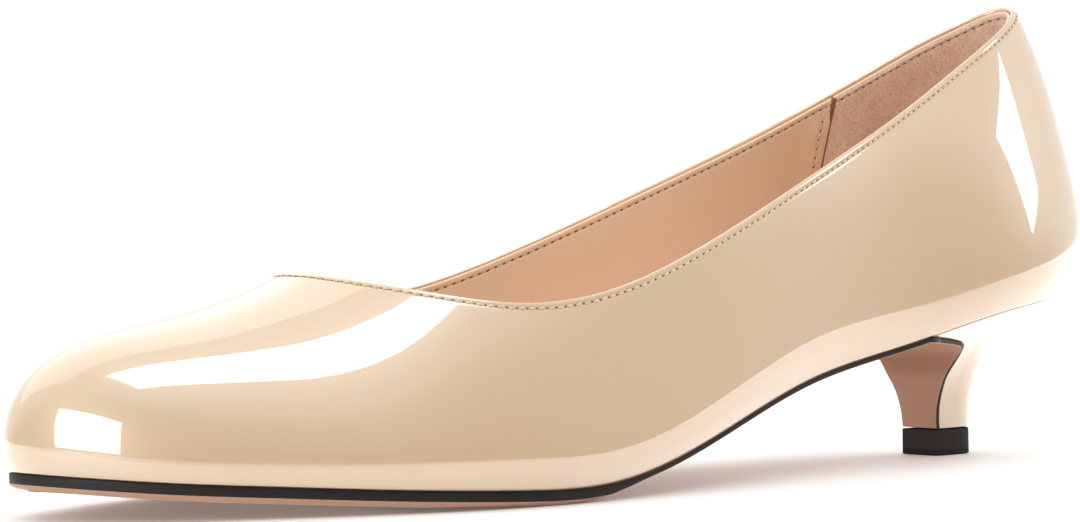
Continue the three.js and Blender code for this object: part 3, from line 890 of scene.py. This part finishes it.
class FlapCorner:
    """The sole's edge on the heel breast, at one share of the flap."""

    def __init__(self, share, side):
        self.here = [float(value) for value in flap_at(share)]
        along, up, _, in_along, in_up, thickness = self.here
        reach = float(heel_reach(along, up + in_up * thickness * 0.5, side))
        _, foot_across, _, _ = edge_point(edge_at(along, side))
        beside = float(ease(WING_AT, WING_AT - 7, along))
        self.side = side
        self.width = mix(abs(float(foot_across)) - BARE_EDGE, reach, beside)
        self.painted = PAINTED_MOST
        self.bevel_width = THIN_BEVEL

    def __call__(self, depth, inset):
        along, up, _, in_along, in_up, thickness = self.here
        lift = thickness * (1 - depth)
        across = self.side * (self.width - inset)
        return np.array([across, -(along + in_along * lift), up + in_up * lift])


def sole_row(corners):
    """One whole section of the sole, from its corners on both sides."""
    top = (corners[1](0, 0) + corners[-1](0, 0)) / 2
    under = (corners[1](1, 1) + corners[-1](1, 1)) / 2
    return loop_of(lambda side: sole_half(top, under, corners[side]))


def make_sole():
    """Sole in one piece from the toe to the top lift, its edge painted black."""
    rows = []
    shares = np.linspace(0, 1, 230)
    stations = mix(WING_AT + 0.8, TOE_END - 0.005, 1 - (1 - shares) ** 2)
    for along in stations[::-1]:
        rows.append(sole_row({side: ForeCorner(along, side) for side in (1, -1)}))
    for share in np.linspace(0, 1, 70):
        corners = {side: FlapCorner(share, side) for side in (1, -1)}
        row = sole_row(corners)
        along, up, arch, in_along, in_up, _ = corners[1].here
        width = float(heel_reach(along, up, 1))
        rise = arch * np.clip(1 - (row[:, 0] / width) ** 2, 0, 1)
        row[:, 1] -= in_along * rise
        row[:, 2] += in_up * rise
        rows.append(row)
    upper = len(UPPER_SPREAD)
    painted = range(upper, upper + len(EDGE_STEPS))
    half = len(rows[0]) // 2
    lateral = [1 if i + 1 in painted else 0 for i in range(half)]
    medial = [1 if i in painted else 0 for i in range(half)]
    return loft_object("sole_leather", rows, [sole_face, black_edge], lateral + medial[::-1])


def breast_share(down, side):
    """Where the heel's side meets the back of the flap, for each height."""
    along, up, _, in_along, in_up, thickness = flap_at(np.linspace(0, 1, 400))
    depth = thickness + GAP * 0.4
    curve = np.stack([along + in_along * depth, up + in_up * depth], -1)
    inward = np.stack([in_along, in_up], -1)

    def ahead(share):
        point = heel_side(share, down, side)
        spot = np.stack([-point[..., 1], point[..., 2]], -1)
        away = spot[:, None, :] - curve[None, :, :]
        nearest = np.argmin(np.sum(away**2, -1), axis=1)
        rows = np.arange(len(nearest))
        return np.sum(away[rows, nearest] * inward[nearest], -1) < 0

    zero = np.zeros_like(down)
    return solve(zero, zero + 1, ahead)


def inward_of(loop):
    """Inward directions in plan along one open row of the heel's side."""
    tangent = np.roll(loop, -1, 0) - np.roll(loop, 1, 0)
    tangent[0], tangent[-1] = loop[1] - loop[0], loop[-1] - loop[-2]
    inward = unit(np.cross(tangent, [0, 0, 1.0]))
    return inward * np.sign(np.sum(inward * (loop.mean(axis=0) - loop), -1, keepdims=True))


def make_heel_cover():
    """Patent skin of the heel, rounded at the seat, its ends behind the sole's flap."""
    radius = 0.8
    skin = 1.1
    downs = np.linspace(0.018, 1, 90) ** 1.15
    spread = np.linspace(0, 1, 90) ** 0.9
    columns = {}
    for side in (1, -1):
        start = breast_share(downs, side)
        shares = start[:, None] + (1 - start[:, None]) * spread[None, :]
        columns[side] = heel_side(shares, downs[:, None], side)
    around = list(np.concatenate([columns[1], columns[-1][:, -2::-1]], axis=1))
    inward = inward_of(around[0])
    rolled = []
    for turn in np.linspace(0, QUARTER_TURN, 6)[:0:-1]:
        lifted = around[0] + inward * radius * (1 - math.cos(turn))
        lifted[:, 2] += radius * math.sin(turn) * 0.7
        rolled.append(lifted)
    inside = [row + inward_of(row) * skin for row in around]
    rows = [*rolled, *around, *inside[::-1]]
    size = len(around[0])
    faces = grid_faces(len(rows), size, True, False)
    for column in (0, size - 1):
        caps = []
        for i in range(len(around) - 1):
            a, b = len(rolled) + i, len(rows) - 1 - i
            caps.append([row * size + column for row in (a, a + 1, b - 1, b)])
        caps.append([row * size + column for row in (*range(len(rolled) + 1), len(rows) - 1)])
        faces += caps if column == 0 else [cap[::-1] for cap in caps]
    points = np.concatenate(rows)
    return mesh_object("heel_cover", points, faces, [patent], smooth_angle=math.radians(50))


def make_lift():
    """Rubber top piece with eased edges."""
    half = np.stack(lift_point(np.linspace(0, 1, 60), 0), -1)
    loop = np.concatenate([half, (half * [1, -1])[-2::-1]])
    centre = np.array([BREAST_AT - LIFT_DEPTH / 2, 0])
    soft = 0.28
    cut = soft * 0.3
    flat_from = 0.9
    profile = [(flat_from, 0), (soft, 0), (cut, cut), (0, soft), (0, LIFT_HEIGHT - soft)]
    profile += [(cut, LIFT_HEIGHT - cut), (soft, LIFT_HEIGHT), (flat_from, LIFT_HEIGHT)]
    rows = []
    for inset, up in profile:
        shrink = 1 - inset / np.array([LIFT_DEPTH / 2, LIFT_WIDTH / 2])
        flat = centre + (loop - centre) * shrink
        rows.append(place(flat[:, 0], flat[:, 1], up))
    points = np.concatenate(rows)
    size = len(loop)
    faces = grid_faces(len(rows), size, False, True)
    faces.append(list(range(size)))
    faces.append(list(range((len(rows) - 1) * size, len(rows) * size))[::-1])
    turned = outward(points, faces)
    return mesh_object("lift_rubber", points, turned, [rubber], smooth_angle=math.radians(40))


# Stitches: a path on the surface carries its normals, and one tree sets beads along it.
def stitch_tree():
    tree = bpy.data.node_groups.new("stitch_row", "GeometryNodeTree")
    face = tree.interface
    face.new_socket("Geometry", in_out="INPUT", socket_type="NodeSocketGeometry")
    for name in ("Pitch", "Length", "Width", "Height", "Shift", "Slant"):
        face.new_socket(name, in_out="INPUT", socket_type="NodeSocketFloat")
    face.new_socket("Material", in_out="INPUT", socket_type="NodeSocketMaterial")
    face.new_socket("Geometry", in_out="OUTPUT", socket_type="NodeSocketGeometry")
    shader = Shader(tree)
    given = shader.node("NodeGroupInput")

    def step(kind, output, sockets, settings=None):
        return shader.node(kind, settings, sockets)[output]

    path = step("GeometryNodeMeshToCurve", "Curve", {"Mesh": given["Geometry"]})
    pitch = {"Curve": path, "Length": given["Pitch"]}
    spaced = step("GeometryNodeResampleCurve", "Curve", pitch, {"mode": "LENGTH"})
    tangent = step("GeometryNodeInputTangent", "Tangent", {})
    vector = {"data_type": "FLOAT_VECTOR"}
    normal = step("GeometryNodeInputNamedAttribute", "Attribute", {"Name": "outward"}, vector)
    kept = shader.node("GeometryNodeCaptureAttribute", {}, {"Geometry": spaced})
    for name, source in (("Tangent", tangent), ("Outward", normal)):
        kept.node.capture_items.new("VECTOR", name)
        tree.links.new(source.socket, kept.node.inputs[name])
    scaled = {0: kept["Tangent"], "Scale": given["Shift"]}
    shift = step("VectorMath", "Vector", scaled, {"operation": "SCALE"})
    moved = step("GeometryNodeSetPosition", "Geometry", {"Geometry": kept["Geometry"], "Offset": shift})
    points = step("GeometryNodeCurveToPoints", "Points", {"Curve": moved}, {"mode": "EVALUATED"})
    sides = {"Primary Axis": kept["Outward"], "Secondary Axis": kept["Tangent"]}
    axes = {"primary_axis": "Z", "secondary_axis": "X"}
    turned = step("FunctionNodeAxesToRotation", "Rotation", sides, axes)
    tilt = step("CombineXYZ", "Vector", {"Z": given["Slant"]})
    tilted = {"Rotation": turned, "Rotate By": tilt}
    slanted = step("FunctionNodeRotateRotation", "Rotation", tilted, {"rotation_space": "LOCAL"})
    bead = step("GeometryNodeMeshUVSphere", "Mesh", {"Segments": 8, "Rings": 6, "Radius": 0.5})
    sides = {"X": given["Length"], "Y": given["Width"], "Z": given["Height"]}
    size = step("CombineXYZ", "Vector", sides)
    placed = {"Points": points, "Instance": bead, "Rotation": slanted, "Scale": size}
    beads = step("GeometryNodeInstanceOnPoints", "Instances", placed)
    real = step("GeometryNodeRealizeInstances", "Geometry", {"Geometry": beads})
    smooth = step("GeometryNodeSetShadeSmooth", "Geometry", {"Geometry": real})
    finished = {"Geometry": smooth, "Material": given["Material"]}
    dressed = step("GeometryNodeSetMaterial", "Geometry", finished)
    shader.node("NodeGroupOutput", {}, {0: dressed})
    return tree


STITCH_ROW = stitch_tree()


def path_object(name, points, normals, closed):
    count = len(points)
    mesh = bpy.data.meshes.new(name)
    edges = [(i, (i + 1) % count) for i in range(count if closed else count - 1)]
    mesh.from_pydata(((points + ORIGIN) * MM).tolist(), edges, [])
    attribute = mesh.attributes.new("outward", "FLOAT_VECTOR", "POINT")
    attribute.data.foreach_set("vector", normals.astype(np.float32).ravel())
    return add_object(name, mesh)


def sewn(name, points, normals, closed, sizes, material, shift, slant):
    """A row of beads of one size, as a piece of its own."""
    path = path_object(name + "_path", points, normals, closed)
    modifier = path.modifiers.new("stitch_row", "NODES")
    modifier.node_group = STITCH_ROW
    wanted = {"Pitch": STITCH_PITCH * MM, "Shift": shift * MM, "Slant": slant, "Material": material}
    for side, size in zip(("Length", "Width", "Height"), sizes):
        wanted[side] = size * MM
    for item in STITCH_ROW.interface.items_tree:
        if item.in_out == "INPUT" and item.name in wanted:
            modifier[item.identifier] = wanted[item.name]
    path.update_tag()
    graph = bpy.context.evaluated_depsgraph_get()
    made = bpy.data.meshes.new_from_object(path.evaluated_get(graph))
    made.name = name
    path.modifiers.remove(modifier)
    bpy.data.objects.remove(path)
    return add_object(name, made)


STITCH_SLANT = 0.12


def sew_row(name, spots, normals, closed, stitch, stitch_out, shade_bead, shade_bead_out):
    """Stitches, and dark beads between them painted as the shade in the needle holes, each so far out
    from the spots.
    """
    rows = []
    for part, size, out, look, shift, slant in (
        ("stitches", stitch, stitch_out, thread, 0.0, STITCH_SLANT),
        ("holes", shade_bead, shade_bead_out, needle_hole_shade, STITCH_PITCH / 2, 0.0),
    ):
        path = spots + normals * out
        rows.append(sewn(name.format(part), path, normals, closed, size, look, shift, slant))
    return rows


def make_stitches():
    wall = Wall(np.arange(360) / 180)
    spots, normals, _ = wall.frame(STITCH_DROP)
    made = sew_row("topline_{}", spots, normals, True, (1.35, 0.52, 0.4), 0.03, (0.5, 0.4, 0.2), -0.08)
    drop = STITCH_DROP + INNER_ROW_LOWER
    spots, normals, _ = wall.frame(drop)
    ahead = ahead_of_seam(wall.edges)
    depth = np.where(ahead > -LAP_LIP, lap_depth(ahead, drop), GRIP_DEPTH)[:, None] - 0.2
    made += sew_row("inner_{}", spots, -normals, True, (1.2, 0.36, 0.3), depth, (0.95, 0.42, 0.22), depth)
    start, end = grip_edges()
    at_seam = SEAM_STITCH_AT / LENGTH
    depth = float(lap_depth(np.array(SEAM_STITCH_AT)))
    for side, edge in (("inner", start + 2 - at_seam), ("outer", end + at_seam)):
        seam = Wall(np.array([edge]))
        foot = float(seam.length[0] - angle_length(seam, INSOLE_THICKNESS + 0.6)[0])
        frames = [seam.frame(drop) for drop in np.linspace(3.2, foot, 60)]
        normals = np.array([-way[0] for _, way, _ in frames])
        spots = np.array([spot[0] for spot, _, _ in frames])
        name = "seam_{}_" + side
        stitch, shade_bead = (1.4, 0.62, 0.5), (0.5, 0.5, 0.2)
        made += sew_row(name, spots, normals, False, stitch, depth + 0.1, shade_bead, depth + 0.03)
    return made


upper_leather = make_upper_leather()
vamp_lining = make_vamp_lining()
heel_grip = make_heel_grip()
sock = make_sock()
sole_leather = make_sole()
heel_cover = make_heel_cover()
lift_rubber = make_lift()
stitches = make_stitches()

for piece, slot in (
    (upper_leather, "patent"),
    (vamp_lining, "sock"),
    (heel_grip, "sock"),
    (sock, "sock"),
    (sole_leather, "sole"),
    (heel_cover, "patent"),
    (lift_rubber, "top_lift"),
    *((row, "patent") for row in stitches),
):
    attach(piece, "root")
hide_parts("upper")
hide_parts("insole")
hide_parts("outsole")
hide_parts("heel")
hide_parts("top_lift")


# Studio: a pale floor, a white surround behind, soft boxes for the long highlights.
def make_floor():
    half = 4.0
    corners = [(-half, -half, 0), (half, -half, 0), (half, half, 0), (-half, half, 0)]
    mesh = bpy.data.meshes.new("floor")
    mesh.from_pydata(corners, [], [(0, 1, 2, 3)])
    mesh.materials.append(paper)
    thing = add_object("floor", mesh)


def bearing(azimuth, elevation):
    """A direction from degrees: azimuth 0 is +X and 90 is +Y."""
    a, e = math.radians(azimuth), math.radians(elevation)
    return Vector((math.cos(a) * math.cos(e), math.sin(a) * math.cos(e), math.sin(e)))


def soft_box(name, target, azimuth, elevation, distance, width, height, power, spin=0.0):
    lamp = bpy.data.lights.new(name, "AREA")
    lamp.shape = "RECTANGLE"
    lamp.size = width
    lamp.size_y = height
    lamp.energy = power
    thing = add_object(name, lamp)
    toward = bearing(azimuth, elevation)
    thing.location = Vector(target) * MM + toward * distance
    turn = toward.to_track_quat("Z", "Y").to_matrix() @ Matrix.Rotation(spin, 3, "Z")
    thing.rotation_euler = turn.to_euler()
    thing.visible_camera = False
    return thing


SURROUND_STOPS = ((0.33, (0.2, 0.2, 0.205)), (0.71, (0.45, 0.45, 0.455)), (0.88, (1.0, 1.0, 1.0)))
SURROUND_STRENGTH = 1.05
BRIGHTEST = bearing(143.5, 8)


def make_surround():
    """Brightest behind the shoe as the camera sees it, and towards the ceiling."""
    world = bpy.data.worlds.new("studio")
    bpy.context.scene.world = world
    world.use_nodes = True
    shader = Shader(world.node_tree)
    toward = shader.node("TexCoord")["Generated"]
    facing = shader.node("VectorMath", {"operation": "DOT_PRODUCT"}, {0: toward, 1: BRIGHTEST})["Value"]
    upward = shader.node("SeparateXYZ", {}, {0: toward})["Z"]
    place_on = {"Fac": facing * 0.5 + upward * 0.65 + 0.5}
    ramp = shader.node("ValToRGB", {"stops": SURROUND_STOPS}, place_on)["Color"]
    light = {"Color": ramp, "Strength": SURROUND_STRENGTH}
    glow = shader.node("Background", {}, light)["Background"]
    shader.node("OutputWorld", {}, {"Surface": glow})


# Camera where the photograph's outlines put it.
CAMERA_TURN = 37.79
CAMERA_RISE = 0.98
CAMERA_ROLL = -1.007
CAMERA_DISTANCE = 697.1
CAMERA_AIM = (132.73, 0.0, 42.59)
PHOTO_WIDTH = 1080
FOCAL_PIXELS = 3662
SENSOR_WIDTH = 36


def make_camera():
    turn, roll = math.radians(CAMERA_TURN), math.radians(CAMERA_ROLL)
    back = bearing(-CAMERA_TURN, CAMERA_RISE)
    flat = Vector((math.sin(turn), math.cos(turn), 0))
    upright = back.cross(flat)
    right = flat * math.cos(roll) + upright * math.sin(roll)
    upward = upright * math.cos(roll) - flat * math.sin(roll)
    along, across, up = CAMERA_AIM
    aim = Vector((across + ORIGIN[0], ORIGIN[1] - along, up)) * MM
    data = bpy.data.cameras.new("camera")
    data.lens = FOCAL_PIXELS / PHOTO_WIDTH * SENSOR_WIDTH
    data.sensor_width = SENSOR_WIDTH
    data.clip_start = 0.01
    camera = add_object("camera", data)
    matrix = Matrix((right, upward, back)).transposed().to_4x4()
    matrix.translation = aim + back * CAMERA_DISTANCE * MM
    camera.matrix_world = matrix
    bpy.context.scene.camera = camera


# Boxes that only the shine shows, and then boxes that light the leather without one.
MIRRORED = (
    ("overhead", (0, -100, 30), 0, 82.6, 1.1, 0.62, 0.37, 5, 0),
    ("toe_window", (0, -110, 15), -73, 20, 0.9, 0.56, 0.57, 8, 0),
    ("heel_strip", (20, 95, 60), 66, 22.5, 0.9, 0.13, 0.25, 0.7, 0.36),
    ("far_veil", (0, -100, 30), 180, 48, 1.6, 1.8, 1.5, 7, 0),
)
FILLS = (
    ("camera_fill", -34, 34, 1.4, 0.8, 4.8),
    ("toe_fill", -100, 16, 1.2, 0.8, 4.6),
    ("heel_fill", 85, 16, 1.2, 0.8, 4),
    ("far_fill", 146, 14, 2.0, 0.8, 8),
    ("top_fill", 0, 90, 3.0, 3.0, 21),
)
FILL_DISTANCE = 1.8
SHOE_MIDDLE = (0, 0, 30)
# The lit table as the patent shows it: it ends a hand's width in front of the shoe.
TABLE_FRONT = 145 * MM
TABLE_ABOVE = 0.6 * MM
TABLE_WIDE, TABLE_DEEP = 3.0, 1.5
TABLE_POWER = 11


def make_lights():
    for name, target, azimuth, elevation, distance, width, height, power, spin in MIRRORED:
        box = soft_box(name, target, azimuth, elevation, distance, width, height, power, spin)
        box.visible_diffuse = False
    for name, azimuth, elevation, width, height, power in FILLS:
        box = soft_box(name, SHOE_MIDDLE, azimuth, elevation, FILL_DISTANCE, width, height, power)
        box.visible_glossy = False
    table = soft_box("table_glow", (0, 0, 0), 0, -90, 0.0, TABLE_WIDE, TABLE_DEEP, TABLE_POWER)
    ahead = TABLE_FRONT - TABLE_DEEP / 2
    table.location = bearing(-CAMERA_TURN, 0) * ahead + Vector((0, 0, TABLE_ABOVE))
    table.rotation_euler = (math.pi, 0, QUARTER_TURN - math.radians(CAMERA_TURN))
    table.visible_diffuse = False


make_floor()
make_surround()
make_camera()
make_lights()
bpy.context.scene.view_settings.view_transform = "Standard"
